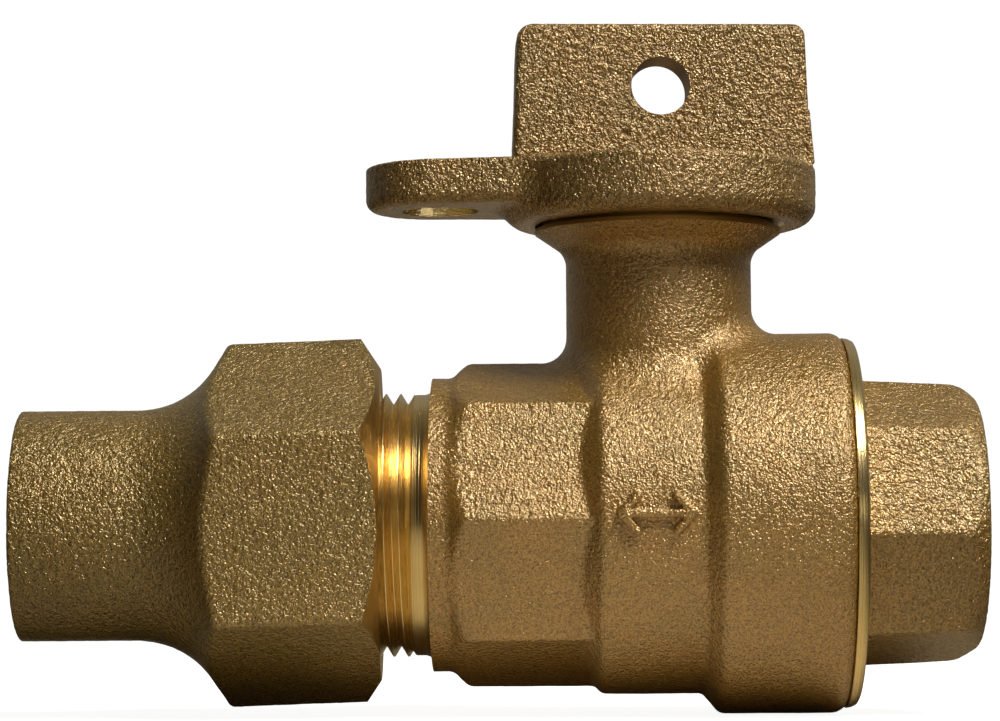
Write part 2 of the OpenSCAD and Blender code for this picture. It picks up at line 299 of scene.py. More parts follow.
def thread(name, xa, xb, crest, root, pitch, mats, phase, n=180, flat=0.035):
    """A right-hand V thread from about xa to xb as a closed solid whose rows follow the helix. flat is half the
    crest's width over the pitch. Its ends are rough, for cutting off."""
    q = pitch * flat
    marks = [q, pitch / 2 - q, pitch / 2 + q, pitch - q]
    level = [root, crest, crest, root]
    k0, k1 = math.floor(xa / pitch) - 2, math.ceil(xb / pitch) + 1
    base = [(k * pitch + m, lv) for k in range(k0, k1) for m, lv in zip(marks, level)]
    per, rows = len(marks), len(base)
    bx, br = np.array([b[0] for b in base]), np.array([b[1] for b in base])
    t = 2 * math.pi * np.arange(n) / n
    x = bx[None] + pitch * (t / (2 * math.pi) + phase)[:, None]
    r = np.repeat(br[None], n, 0)
    co = np.stack([x, r * np.cos(t)[:, None], r * np.sin(t)[:, None]], -1).reshape(-1, 3)
    idx = np.arange(n * rows).reshape(n, rows)
    faces = []
    for i in range(n - 1):
        for j in range(rows - 1):
            faces.append((idx[i, j], idx[i + 1, j], idx[i + 1, j + 1], idx[i, j + 1]))
    for j in range(rows - 1 - per):
        faces.append((idx[n - 1, j], idx[0, j + per], idx[0, j + per + 1], idx[n - 1, j + 1]))
    c0, c1 = len(co), len(co) + 1
    co = np.vstack([co, [bx[0] + pitch * phase, 0, 0], [bx[-1] + pitch * (1 + phase), 0, 0]])
    low = [idx[i, 0] for i in range(n)] + [idx[0, j] for j in range(per, 0, -1)]
    for a, b in zip(low, low[1:] + low[:1]):
        faces.append((c0, b, a))
    ring = [idx[i, rows - 1] for i in range(n)]
    back = [idx[n - 1, j] for j in range(rows - 2, rows - 2 - per, -1)]
    loop = ring + back
    for a, b in zip(loop, loop[1:] + loop[:1]):
        faces.append((c1, a, b))
    return outward(make_object(name, co, [tuple(int(k) for k in f) for f in faces], mats, 1))


def boolean(ob, tool, operation, keep=False):
    """ob cut by, joined with or kept inside tool, with both pieces' materials."""
    for part in (ob, tool):
        if open_edges(part):
            raise RuntimeError(f"{part.name} has {open_edges(part)} open edges, so it can't be cut or joined")
    mod = ob.modifiers.new("cut", "BOOLEAN")
    mod.operation, mod.solver, mod.object = operation, "MANIFOLD", tool
    if hasattr(mod, "material_mode"):
        mod.material_mode = "INDEX"
    bpy.context.view_layer.update()
    dg = bpy.context.evaluated_depsgraph_get()
    me = bpy.data.meshes.new_from_object(ob.evaluated_get(dg))
    ob.modifiers.clear()
    if len(me.polygons) == 0:
        raise RuntimeError(f"{ob.name} {operation} {tool.name} came back empty")
    old = ob.data
    ob.data = me
    bpy.data.meshes.remove(old)
    if not keep:
        data = tool.data
        bpy.data.objects.remove(tool)
        bpy.data.meshes.remove(data)
    return ob


def open_edges(ob):
    """How many edges don't have exactly two faces."""
    me = ob.data
    e = np.zeros(len(me.loops), np.int32)
    me.loops.foreach_get("edge_index", e)
    return int((np.bincount(e, minlength=len(me.edges)) != 2).sum())


# ---------------------------------------------------------------- the castings as distance fields

END_TURN = 5.8       # turn of the end piece and of the nut about the flow axis
NUT_TURN = 3.8
CAP_TURN = 3.0       # the operator as drawn, past fully open
CAP_SHIFT = 0.28
P = 1.8143           # thread pitch
PHASE = 0.565        # where the flare thread starts
H = 1.0   # grid step, as a multiple of the finished one


def rod(rho, u, radius, u0, u1, e=0.0):
    """A cylinder in (distance from axis, along)."""
    return box2(u - (u0 + u1) / 2, rho, (u1 - u0) / 2, radius, e)


def groove(p, a, b, r):
    """Distance to a capsule from a to b."""
    a, b = np.array(a, F), np.array(b, F)
    ab = b - a
    px, py, pz = p[0] - a[0], p[1] - a[1], p[2] - a[2]
    t = np.clip((px * ab[0] + py * ab[1] + pz * ab[2]) / float(ab @ ab), 0, 1)
    return np.sqrt((px - t * ab[0]) ** 2 + (py - t * ab[1]) ** 2 + (pz - t * ab[2]) ** 2) - r


def body_field(x, y, z):
    rx, rz = np.hypot(y, z), np.hypot(x, y)
    d = rod(rx, x, 18.15, -29.4, -7.5, 0.25)
    cone = slope(x, rx, -25.65, 18.15, -23.8, 20.0)
    octagon = np.maximum(meet(ngon(y, z, 8, 20.1, 0, 0.7), cone, 0.45), x + 6.5)
    d = join(d, octagon, 0.4)
    d = join(d, np.maximum(meet(rx - 21.0, slope(x, rx, -9.95, 18.4, -7.5, 20.9), 0.35), x - 6.8), 0.3)
    d = join(d, meet(meet(rx - 23.45, slope(x, rx, 4.85, 20.9, 7.0, 23.4), 0.45), x - 22.73, 1.93), 0.35)
    # lug for the padlock, behind the neck
    t = np.clip(y / 27.4, 0, 1)
    plan = np.hypot(x, y - 27.4 * t) - (9.75 - 0.55 * t)
    lug = box2(np.maximum(plan, -5) + 5, z - 33.9, 5, 2.7, 0.9)
    rn = np.hypot(x - 0.06, y)
    neck = rod(rn, z, 11.53, 8, 38, 0)
    trumpet = meet(slope(z, rn, 30.3, 6.75, 36.15, 15.35), rod(rz, z, 15.7, 20, 40.2, 0.1), 0.2)
    top = join(join(neck, trumpet, 1.1), lug, 1.6)
    d = join(d, top, 3.1)
    # raised two-way flow arrow in place of lettering
    near = (y < -17) & (np.abs(z) < 8) & (np.abs(x) < 8)
    if near.any():
        xn, zn, rn = x[near] + 0.9, z[near] - 0.6, rx[near]
        bar = box2(xn, zn, 4.1, 0.46, 0.15)
        ax, az = np.abs(xn), np.abs(zn)
        t = np.clip(((4.3 - ax) * 2.0 + az * 2.1) / (2.0 ** 2 + 2.1 ** 2), 0, 1)
        barb = np.hypot(ax - 4.3 + 2.0 * t, az - 2.1 * t) - 0.46
        raised = meet(np.minimum(bar, barb), rn - 21.95, 0.16)
        d = d.copy()
        d[near] = join(d[near], raised, 0.18)
    return np.maximum(d, -29.5 - x).astype(F)


def nut_field(x, y, z):
    z = z - 0.12
    zs = z - 0.18 - 0.034 * (x + 46)
    rho = np.hypot(y, z)
    sweep = np.where(x < -65, rho - 14.3, np.where(rho < 26.2, 11.9 - np.hypot(26.2 - rho, x + 65), -3.0))
    sweep = np.where(x < -65, sweep, np.where(x > -53.1, np.minimum(sweep, -0.5), sweep))
    hexagon = ngon(y, zs, 6, 22.66, 90 + NUT_TURN, 0.7)
    d = meet(hexagon, sweep, 0.7)
    d = meet(d, -79.45 - 0.038 * y - x, 0.3)
    return np.maximum(d, x + 33.2).astype(F)


def end_field(x, y, z):
    z = z + 0.1
    rho = np.hypot(y, z)
    s = (x - 26) * -0.0495
    d = ngon(y, z, 8, 17.66, END_TURN, 0.6) - s * 0.92
    d = meet(d, slope(x, rho, 36.75, 17.25, 39.0, 15.25), 0.75)
    d = meet(d, x - 39.0, 0.35)
    return np.maximum(d, 22.8 - x).astype(F)


def cap_field(x, y, z):
    rz = np.hypot(x, y)
    disc = meet(meet(rz - 19.43, 37.05 - z, 2.25), z - 44.2, 0.7)
    t = np.clip(-x / 27.4, 0, 1)
    plan = np.hypot(x + 27.4 * t, y) - (11.6 - 2.4 * np.clip(t * 1.25 - 0.25, 0, 1))
    wing = np.maximum(plan, -5) + 5
    zz = z - 0.012 * (x + 19)
    d_low, d_top, d_side = 39.07 - zz, zz - 44.52, wing - 5.06
    w = meet(meet(d_side, d_low, 1.5), d_top, 0.4)
    d = join(disc, w, 1.6)
    half = 18.60 - (z - 44) * 0.036 + 0.16 * np.sign(x)
    u, v = np.abs(x) - half, z - 62.2
    head = np.where(x > 0, meet(u, v, 1.5), meet(u, v, 2.0))
    tee = meet(head, np.abs(y) - (3.72 - (z - 53) * 0.012), 0.75)
    d = join(d, np.maximum(tee, 41 - z), 0.7)
    # cold-shut fold near the head's right edge and a blow hole in its face
    fold = (x > 15) & (y < -1.5) & (z > 43.5) & (z < 53)
    if fold.any():
        q = (x[fold], y[fold], z[fold])
        cut = groove(q, (17.55, -4.0, 51.4), (18.15, -4.0, 44.6), 0.42)
        lip = groove(q, (18.25, -3.25, 51.0), (18.75, -3.3, 44.8), 0.42)
        d = d.copy()
        d[fold] = join(meet(d[fold], -cut, 0.12), lip, 0.2)
    pit = (x > -9) & (x < -2) & (y < -2) & (z > 46) & (z < 51)
    if pit.any():
        q = (x[pit], y[pit], z[pit])
        d = d.copy()
        hole = np.minimum(groove(q, (-4.9, -3.9, 48.45), (-4.2, -3.85, 48.2), 0.34), groove(q, (-5.6, -3.85, 49.0), (-5.3, -3.9, 48.8), 0.2))
        d[pit] = meet(d[pit], -hole, 0.1)
    return d.astype(F)




def grain(ob_v, field, coarse, fine, seed, size=1.0, keep=None):
    """Sand-cast relief: moves points along the field's normal by lumps and pits of mixed sizes."""
    n = gradient(field, ob_v, 0.15)
    p = ob_v.astype(F)
    warp = p + 0.35 * np.stack([gnoise(p, 1.3 * size, seed + k) for k in (50, 51, 52)], 1)
    a = gnoise(warp, 1.15 * size, seed)
    b = gnoise(warp, 0.62 * size, seed + 1)
    c = cells(warp, 0.95 * size, seed + 2)
    slow = gnoise(p, 7.0, seed + 3)
    lift = coarse * (0.55 * a + 0.30 * (c - 0.55)) + fine * b
    lift *= 0.85 + 0.35 * slow
    lift += 0.035 * gnoise(p, 5.0, seed + 4)
    pits = np.clip(gnoise(p, 2.4 * size, seed + 5) - 0.72, 0, 1)
    lift -= coarse * 3.0 * pits
    if keep is not None:
        lift *= keep(p)
    return ob_v + n * lift[:, None]


# ---------------------------------------------------------------- materials

class Nodes:
    """A small helper for building a node material."""

    def __init__(self, name):
        self.mat = bpy.data.materials.new(name)
        self.mat.use_nodes = True
        self.tree = self.mat.node_tree
        self.tree.nodes.clear()
        self.out = self.add("ShaderNodeOutputMaterial")
        self.bsdf = self.add("ShaderNodeBsdfPrincipled")
        self.link(self.bsdf.outputs["BSDF"], self.out.inputs["Surface"])
        self.coord = self.add("ShaderNodeTexCoord").outputs["Object"]

    def add(self, kind, **settings):
        node = self.tree.nodes.new(kind)
        for key, value in settings.items():
            setattr(node, key, value)
        return node

    def link(self, a, b):
        self.tree.links.new(a, b)

    def set(self, target, value):
        if hasattr(value, "is_linked") or isinstance(value, bpy.types.NodeSocket):
            self.link(value, target)
        else:
            target.default_value = value

    def noise(self, size_mm, detail=3.0, rough=0.55, vector=None, distortion=0.0):
        n = self.add("ShaderNodeTexNoise")
        n.inputs["Scale"].default_value = 1000.0 / size_mm
        n.inputs["Detail"].default_value = detail
        n.inputs["Roughness"].default_value = rough
        n.inputs["Distortion"].default_value = distortion
        self.link(vector or self.coord, n.inputs["Vector"])
        return n.outputs["Fac"]

    def voronoi(self, size_mm, feature="F1", vector=None):
        n = self.add("ShaderNodeTexVoronoi", feature=feature)
        n.inputs["Scale"].default_value = 1000.0 / size_mm
        self.link(vector or self.coord, n.inputs["Vector"])
        return n.outputs["Distance"]

    def ramp(self, value, stops):
        n = self.add("ShaderNodeValToRGB")
        while len(n.color_ramp.elements) < len(stops):
            n.color_ramp.elements.new(0.5)
        for element, (pos, colour) in zip(n.color_ramp.elements, stops):
            element.position = pos
            if isinstance(colour, (int, float)):
                colour = (colour,) * 3
            element.color = (*colour, 1.0)
        self.link(value, n.inputs["Fac"])
        return n.outputs["Color"]

    def math(self, operation, a, b=0.0, c=0.0):
        n = self.add("ShaderNodeMath", operation=operation)
        for socket, value in zip(n.inputs, (a, b, c)):
            self.set(socket, value)
        return n.outputs[0]

    def mix(self, fac, a, b, blend="MIX"):
        n = self.add("ShaderNodeMix", data_type="RGBA", blend_type=blend)
        self.set(n.inputs["Factor"], fac)
        for socket, value in ((n.inputs[6], a), (n.inputs[7], b)):
            if isinstance(value, tuple):
                value = (*value, 1.0) if len(value) == 3 else value
            self.set(socket, value)
        return n.outputs[2]

    def bump(self, height, distance_mm, strength=1.0, normal=None):
        n = self.add("ShaderNodeBump")
        n.inputs["Strength"].default_value = strength
        n.inputs["Distance"].default_value = distance_mm * MM
        self.link(height, n.inputs["Height"])
        if normal is not None:
            self.link(normal, n.inputs["Normal"])
        return n.outputs["Normal"]

    def scaled(self, x, y, z):
        n = self.add("ShaderNodeMapping")
        n.inputs["Scale"].default_value = (x, y, z)
        self.link(self.coord, n.inputs["Vector"])
        return n.outputs["Vector"]

    def finish(self, **values):
        for key, value in values.items():
            socket = self.bsdf.inputs[key]
            if isinstance(value, tuple) and len(value) == 3 and socket.type == "RGBA":
                value = (*value, 1.0)
            self.set(socket, value)
        return self.mat


def srgb(r, g, b):
    return tuple(((c / 255 + 0.055) / 1.055) ** 2.4 if c > 10 else c / 255 / 12.92 for c in (r, g, b))


def cast_bronze(name, grain_mm, depth_mm, seed=0.0, lumps=1.0, tint=(1.0, 1.0, 1.0), speck=1.0):
    """Sand-cast bronze: a brown gold whose fine grain glitters where it faces the light, with painted shade darkening
    the grain's pits.
    """
    n = Nodes(name)
    shift = n.add("ShaderNodeMapping")
    shift.inputs["Location"].default_value = (seed, seed * 0.7, -seed)
    n.link(n.coord, shift.inputs["Vector"])
    v = shift.outputs["Vector"]
    dot = n.noise(0.125, 0.0, 0.5, v)
    fine = n.noise(grain_mm, 1.0, 0.6, v, 0.25)
    mid = n.noise(grain_mm * 2.4, 2.0, 0.5, v, 0.2)
    patch = n.noise(8.0, 3.0, 0.6, v)
    stain = n.noise(3.2, 3.0, 0.6, v)
    gold, olive, rust, pit_shade = [tuple(c * t for c, t in zip(base, tint)) for base in (GOLD, OLIVE, RUST, PIT_SHADE)]
    base = n.mix(n.ramp(patch, [(0.36, 0.0), (0.66, 1.0)]), gold, olive)
    base = n.mix(n.ramp(stain, [(0.55, 0.0), (0.80, 0.35)]), base, rust)
    # painted shade: the low spots of the mid and fine grain and the tiny dots are mixed toward a dark brown
    base = n.mix(n.ramp(mid, [(0.30, 0.35), (0.50, 0.0)]), base, pit_shade)
    base = n.mix(n.ramp(fine, [(0.36, 0.75), (0.56, 0.0)]), base, pit_shade)
    base = n.mix(n.ramp(dot, [(0.28, 0.35 * speck), (0.50, 0.0)]), base, pit_shade)
    rough = n.ramp(n.noise(1.3, 2.0, 0.5, v), [(0.3, 0.18), (0.7, 0.27)])
    b1 = n.bump(mid, depth_mm * 1.5 * lumps, 1.0)
    b2 = n.bump(fine, depth_mm, 1.0, b1)
    b3 = n.bump(dot, 0.008 * speck, 1.0, b2)
    return n.finish(**{"Base Color": base, "Metallic": 0.48, "Roughness": rough, "Normal": b3, "IOR": 2.5})


GOLD, OLIVE = (0.54, 0.304, 0.060), (0.46, 0.284, 0.060)
# the second colour here is painted shade for the grain's pits; RUST is a stain colour
RUST, PIT_SHADE = (0.55, 0.265, 0.050), (0.18, 0.088, 0.008)


def machined_brass(name, axis="x", seed=0.0, colour=(230, 208, 158), rough=(0.12, 0.24), marks=0.045):
    """Turned brass with fine tool marks around an axis."""
    n = Nodes(name)
    split = n.add("ShaderNodeSeparateXYZ")
    n.link(n.coord, split.inputs[0])
    a, b, c = {"x": (0, 1, 2), "z": (2, 0, 1)}[axis]
    rad = n.math("SQRT", n.math("ADD", n.math("MULTIPLY", split.outputs[b], split.outputs[b]),
                                n.math("MULTIPLY", split.outputs[c], split.outputs[c])))
    combo = n.add("ShaderNodeCombineXYZ")
    n.link(split.outputs[a], combo.inputs[0])
    n.link(rad, combo.inputs[1])
    combo.inputs[2].default_value = seed
    lines = n.noise(0.07, 1.0, 0.6, combo.outputs[0])
    slow = n.noise(1.1, 2.0, 0.5, combo.outputs[0])
    patch = n.noise(6.0, 3.0, 0.6)
    base = n.mix(n.ramp(patch, [(0.35, 0.0), (0.7, 1.0)]), srgb(*colour), srgb(colour[0] - 16, colour[1] - 12, colour[2] - 14))
    base = n.mix(n.ramp(slow, [(0.25, 0.20), (0.6, 0.0)]), base, tuple(c * 0.4 for c in srgb(*colour)))
    normal = n.bump(lines, marks, 1.0)
    normal = n.bump(slow, 0.02, 0.3, normal)
    return n.finish(**{"Base Color": base, "Metallic": 1.0,
                       "Roughness": n.ramp(lines, [(0.2, rough[0]), (0.8, rough[1])]), "Normal": normal})


def soft_part(name, colour, rough, grain_mm, metallic=0.0, sheen=None):
    """Rubber, plastic or plated metal with a fine surface grain."""
    n = Nodes(name)
    a, b = n.noise(grain_mm, 3.0, 0.6), n.noise(5.0, 2.0, 0.5)
    light = tuple(min(1.0, c * 1.18 + 0.01) for c in colour)
    base = n.mix(n.ramp(b, [(0.3, 0.0), (0.7, 1.0)]), colour, light)
    base = n.mix(n.ramp(a, [(0.55, 0.0), (0.85, 0.35)]), base, tuple(c * 0.6 for c in colour))
    return n.finish(**{"Base Color": base, "Metallic": metallic,
                       "Roughness": n.ramp(a, [(0.2, max(0.04, rough - 0.07)), (0.8, rough + 0.07)]),
                       "Normal": n.bump(a, 0.01, 0.5)})


note("building")
CAST_BODY = cast_bronze("cast_body", 0.22, 0.15, 0.0, 1.1, (1.0, 1.0, 1.0))
CAST_NUT = cast_bronze("cast_nut", 0.25, 0.20, 0.31, 1.2, (0.81, 0.88, 0.77))
CAST_CAP = cast_bronze("cast_cap", 0.27, 0.25, 0.57, 1.2, (0.86, 0.885, 1.04))
CAST_END = cast_bronze("cast_end", 0.27, 0.20, 0.83, 1.2, (0.94, 0.97, 1.0))
RIM = machined_brass("turned_rim", "z", 0.2, (172, 132, 70), (0.42, 0.58))
MOUTH = machined_brass("turned_mouth", "x", 0.6, (205, 166, 94), (0.28, 0.42))
TURNED = machined_brass("turned_brass", "x", 0.0, (243, 214, 152), (0.18, 0.31))
TURNED_Z = machined_brass("turned_brass_bores", axis="z", seed=0.4)

# ---------------------------------------------------------------- flare side: thread and the body's machining

def block(name, low, high, mats, index=1):
    x0, y0, z0 = low
    x1, y1, z1 = high
    v = [(x, y, z) for x in (x0, x1) for y in (y0, y1) for z in (z0, z1)]
    f = [(0, 1, 3, 2), (4, 6, 7, 5), (0, 4, 5, 1), (2, 3, 7, 6), (0, 2, 6, 4), (1, 5, 7, 3)]
    return outward(make_object(name, v, f, mats, index))


def ring_vees(xa, xb, crest, root, pitch):
    """V grooves as plain rings, as (along, radius) points."""
    pts, q, n = [], pitch / 8, int((xb - xa) / pitch)
    for i in range(n):
        x = xa + i * pitch
        pts += [(x + q / 2, root), (x + pitch / 2 - q / 2, crest), (x + pitch / 2 + q / 2, crest), (x + pitch - q / 2, root)]
    return pts


def finished(ob, piece, node, body, sharp=38):
    """Smooths a piece but for its machined edges, and puts it in place of the node's CAD mesh, which it hides."""
    me = ob.data
    me.polygons.foreach_set("use_smooth", np.ones(len(me.polygons), bool))
    le = np.zeros(len(me.loops), np.int32)
    me.loops.foreach_get("edge_index", le)
    lt = np.zeros(len(me.polygons), np.int32)
    me.polygons.foreach_get("loop_total", lt)
    face = np.repeat(np.arange(len(me.polygons)), lt)
    mat = np.zeros(len(me.polygons), np.int32)
    me.polygons.foreach_get("material_index", mat)
    nor = np.zeros(len(me.polygons) * 3, F)
    me.polygons.foreach_get("normal", nor)
    nor = nor.reshape(-1, 3)
    order = np.argsort(le, kind="stable")
    e, f = le[order], face[order]
    pair = np.nonzero(e[1:] == e[:-1])[0]
    f0, f1, ed = f[pair], f[pair + 1], e[pair]
    turn = (nor[f0] * nor[f1]).sum(1) < math.cos(math.radians(sharp))
    both_cast = (mat[f0] == 0) & (mat[f1] == 0)
    edges = np.zeros(len(me.edges), bool)
    edges[ed] = (turn & ~both_cast) | (mat[f0] != mat[f1])
    attr = me.attributes.get("sharp_edge") or me.attributes.new("sharp_edge", "BOOLEAN", "EDGE")
    attr.data.foreach_set("value", edges)
    me.update()
    ob.name = ob.data.name = piece
    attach(ob, body)
    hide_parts(node)
    tri = int((lt - 2).sum())
    note(f"{piece}: {tri} triangles, {open_edges(ob)} open edges")
    return ob


# body casting, and what the lathe took off it
mats = [CAST_BODY, TURNED, RIM]
v, q = surface(body_field, (-30, -24.2, -24.2), (24, 37.4, 40.6), 0.31 * H, "body")
v = grain(v, body_field, 0.030, 0.012, 11, 0.85)
body = make_object("body", v, q, mats)
note(f"body casting, {len(q)} faces")
boolean(body, block("t", (-34, -30, -30), (-28.1, 30, 30), mats), "DIFFERENCE")
boolean(body, block("t", (22.5, -30, -30), (30, 30, 30), mats), "DIFFERENCE")
boolean(body, block("t", (-20, -20, 39.2), (20, 20, 50), mats), "DIFFERENCE")
boolean(body, lathe("t", [(36.62, 14.5), (36.62, 24), (41, 24), (41, 14.4), (37.15, 14.4), (37.15, 14.5)], mats, 160, "z", 2), "DIFFERENCE")
boolean(body, lathe("t", [(35.85, 15.3), (35.85, 18), (36.75, 18), (36.75, 15.3)], mats, 120, "z", 2, (0, 0, 0), (138, 402)), "DIFFERENCE")
boolean(body, lathe("t", [(37.15, 13.2), (37.15, 17), (41, 17), (41, 13.2)], mats, 120, "z", 1, (0, 0, 0), (205.8, 390)), "DIFFERENCE")
core = lathe("t", [(-48.4, 0), (-48.4, 10.3), (-48.25, 10.5), (-44.6, 14.35), (-44.6, 14.9), (-31.15, 14.9), (-30.3, 16.08), (-30.15, 16.15),
                   (-29.0, 16.15), (-28.5, 16.32), (-28.1, 16.8), (-27.2, 16.8), (-27.2, 0)], mats, 240)
helix = thread("t", -46.5, -28, 16.3, 15.03, P, mats, PHASE, 240)
boolean(helix, lathe("t", [(-44.58, 0), (-44.58, 15.0), (-43.3, 16.45), (-30.4, 16.45), (-30.4, 0)], mats, 240), "INTERSECT")
boolean(core, helix, "UNION")
boolean(body, core, "UNION")
x_s = -math.sqrt(16.3 ** 2 - 13 ** 2)
cavity = [(16.3 * math.cos(a), 16.3 * math.sin(a)) for a in np.linspace(math.acos(x_s / 16.3), math.pi / 2, 16)]
boolean(body, lathe("t", [(-52, 0), (-52, 9.25), (-16.35, 9.25), (-16.35, 13)] + cavity + [(11.5, 16.3), (11.5, 17.6), (16.2, 17.6)]
                    + ring_vees(16.2, 16.2 + 3.01 * P, 19.4, 18.4, P) + [(16.2 + 3 * P, 19.4), (25, 19.4), (25, 0)], mats, 200), "DIFFERENCE")
boolean(body, lathe("t", [(0.5, 0), (0.5, 8.5), (17.85, 8.5), (17.85, 6.05), (60, 6.05), (60, 0)], mats, 120, "z"), "DIFFERENCE")
boolean(body, lathe("t", [(28, 0), (28, 4.75), (40, 4.75), (40, 0)], mats, 96, "z", 1, (0, 27.4, 0)), "DIFFERENCE")
finished(body, "valve_body_cast", "valve_body", "housing")

# flare nut
mats = [CAST_NUT, TURNED, MOUTH]
v, q = surface(nut_field, (-80.7, -23, -24), (-33.0, 23, 24), 0.27 * H, "nut")
v = grain(v, nut_field, 0.055, 0.02, 23, 0.75)
nut = make_object("nut", v, q, mats)
note(f"nut casting, {len(q)} faces")
mouth = lathe("t", [(-34.6, 0), (-34.6, 19.3), (-34.72, 19.5), (-37.0, 22.95), (-38.0, 25.6), (-38.2, 30), (-31, 30), (-31, 0)], mats, 240, "x", 2)
mouth.data.transform(Matrix.Translation((-0.0346, 0, 0.0001)) @ Matrix.Rotation(math.radians(2.1), 4, "Z") @ Matrix.Translation((0.0346, 0, 0)))
boolean(nut, mouth, "DIFFERENCE")
boolean(nut, lathe("t", [(-83, 0), (-83, 12.5), (-79.3, 12.5), (-78.1, 11.25), (-55.5, 11.25), (-50.4, 16.38), (-35.6, 16.38),
                         (-34.9, 17.1), (-32.5, 17.1), (-32.5, 0)], mats, 200), "DIFFERENCE")
helix = thread("t", -53, -33, 17.25, 16.3, P, mats, PHASE, 200)
boolean(helix, lathe("t", [(-50.2, 0), (-50.2, 18), (-35.6, 18), (-35.6, 0)], mats, 120), "INTERSECT")
boolean(nut, helix, "DIFFERENCE")
finished(nut, "flare_nut_cast", "flare_nut", "inlet_nut")

# operator cap
mats = [CAST_CAP, TURNED_Z, RIM]
v, q = surface(cap_field, (-37, -19.8, 36.6), (20, 19.8, 62.6), 0.25 * H, "cap")
v = grain(v, cap_field, 0.060, 0.02, 37, 0.65)
cap = make_object("cap", v, q, mats)
note(f"cap casting, {len(q)} faces")
boolean(cap, lathe("t", [(36, 0), (36, 13.5), (39.5, 13.5), (39.5, 0)], mats, 120, "z"), "DIFFERENCE")
boolean(cap, lathe("t", [(36, 0), (36, 15.6), (37.25, 15.6), (37.25, 0)], mats, 160, "z"), "DIFFERENCE")
boolean(cap, lathe("t", [(37.0, 13.3), (37.0, 15.6), (39.5, 15.6), (39.5, 13.3)], mats, 160, "z", 1, (0, 0, 0), (386.4, 656.4)), "DIFFERENCE")
boolean(cap, block("t", (-4.25, -4.25, 38.5), (4.25, 4.25, 43.1), mats), "DIFFERENCE")
boolean(cap, lathe("t", [(-7.2, 0), (-7.2, 1.21), (25, 1.21), (25, 0)], mats, 48, "x", 1, (0, 0, 41.3)), "DIFFERENCE")
boolean(cap, lathe("t", [(30, 0), (30, 4.75), (50, 4.75), (50, 0)], mats, 96, "z", 1, (-27.4, 0, 0)), "DIFFERENCE")
boolean(cap, lathe("t", [(-20, 0), (-20, 3.65), (20, 3.65), (20, 0)], mats, 80, "y", 2, (0.02, 0, 54.32)), "DIFFERENCE")
cap.data.transform(Matrix.Translation((CAP_SHIFT * MM, 0, 0)) @ Matrix.Rotation(math.radians(CAP_TURN), 4, "Z"))
finished(cap, "lockwing_cap_cast", "lockwing_cap", "operator")

# end piece
mats = [CAST_END, TURNED]
v, q = surface(end_field, (22.6, -18.2, -18.2), (39.3, 18.2, 18.2), 0.25 * H, "end")
v = grain(v, end_field, 0.060, 0.02, 51, 0.65)
end = make_object("end", v, q, mats)
note(f"end casting, {len(q)} faces")
boolean(end, lathe("t", [(11.6, 0), (11.6, 17.2), (12, 17.55), (12.7, 17.55), (12.7, 15.85), (14.7, 15.85), (14.7, 17.55), (16.22, 17.55)]
                   + ring_vees(16.2, 16.2 + 3.01 * P, 19.2, 18.2, P)[1:] + [(22.52, 18.2), (22.52, 22.78), (22.6, 22.85), (23.2, 22.76),
                   (23.75, 22.5), (23.92, 22.2), (23.92, 0)], mats, 220), "UNION")
boolean(end, lathe("t", [(11, 0), (11, 13), (16.35, 13), (16.35, 9.25), (24.6, 9.25), (24.6, 12.1), (38.1, 12.1), (39.7, 13.7),
                         (41, 13.7), (41, 0)], mats, 160), "DIFFERENCE")
helix = thread("t", 22, 40, 12.85, 12.0, P, mats, 0.2, 160)
boolean(helix, lathe("t", [(25.4, 0), (25.4, 14), (39.5, 14), (39.5, 0)], mats, 120), "INTERSECT")
boolean(end, helix, "DIFFERENCE")
finished(end, "end_piece_cast", "end_piece", "housing")

# ---------------------------------------------------------------- the pieces inside keep their CAD shape

PTFE = soft_part("white_ptfe", srgb(226, 224, 214), 0.42, 0.6)
RUBBER = soft_part("black_rubber", srgb(30, 30, 31), 0.62, 0.25)
PLATED = soft_part("plated_ball", srgb(206, 206, 202), 0.12, 0.5, 1.0)
STEEL = machined_brass("pin_steel", "x", 0.7, (178, 178, 174), (0.22, 0.38))
STEM_BRASS = machined_brass("stem_brass", "z", 0.9)
LOOKS = {"ball": (PLATED, "plated_ball"), "stem": (STEM_BRASS, "machined_brass"), "cap_pin": (STEEL, "pin_steel"),
         "stem_thrust_washer": (PTFE, "white_ptfe"), "flare_side_seat": (PTFE, "white_ptfe"), "pipe_side_seat": (PTFE, "white_ptfe"),
         "end_piece_oring": (RUBBER, "black_rubber"), "flare_side_seat_oring": (RUBBER, "black_rubber"),
         "pipe_side_seat_oring": (RUBBER, "black_rubber"), "stem_oring_lower": (RUBBER, "black_rubber"),
         "stem_oring_upper": (RUBBER, "black_rubber")}
for name, (look, slot_name) in LOOKS.items():
    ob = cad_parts[name]
    ob.data.materials.clear()
    ob.data.materials.append(look)

# ---------------------------------------------------------------- studio

scene = bpy.context.scene
scene.view_settings.view_transform = "Standard"

world = bpy.data.worlds.new("studio")
scene.world = world
world.use_nodes = True
t = world.node_tree
t.nodes.clear()
w_out = t.nodes.new("ShaderNodeOutputWorld")
w_mix = t.nodes.new("ShaderNodeMixShader")
w_path = t.nodes.new("ShaderNodeLightPath")
w_seen, w_room = t.nodes.new("ShaderNodeBackground"), t.nodes.new("ShaderNodeBackground")
w_seen.inputs["Color"].default_value = (1, 1, 1, 1)
w_seen.inputs["Strength"].default_value = 1.05
w_coord, w_split = t.nodes.new("ShaderNodeTexCoord"), t.nodes.new("ShaderNodeSeparateXYZ")
t.links.new(w_coord.outputs["Generated"], w_split.inputs[0])
w_back, w_up, w_sum = t.nodes.new("ShaderNodeMapRange"), t.nodes.new("ShaderNodeMapRange"), t.nodes.new("ShaderNodeMath")
w_shine = t.nodes.new("ShaderNodeMath")
w_shine.operation = "MULTIPLY"
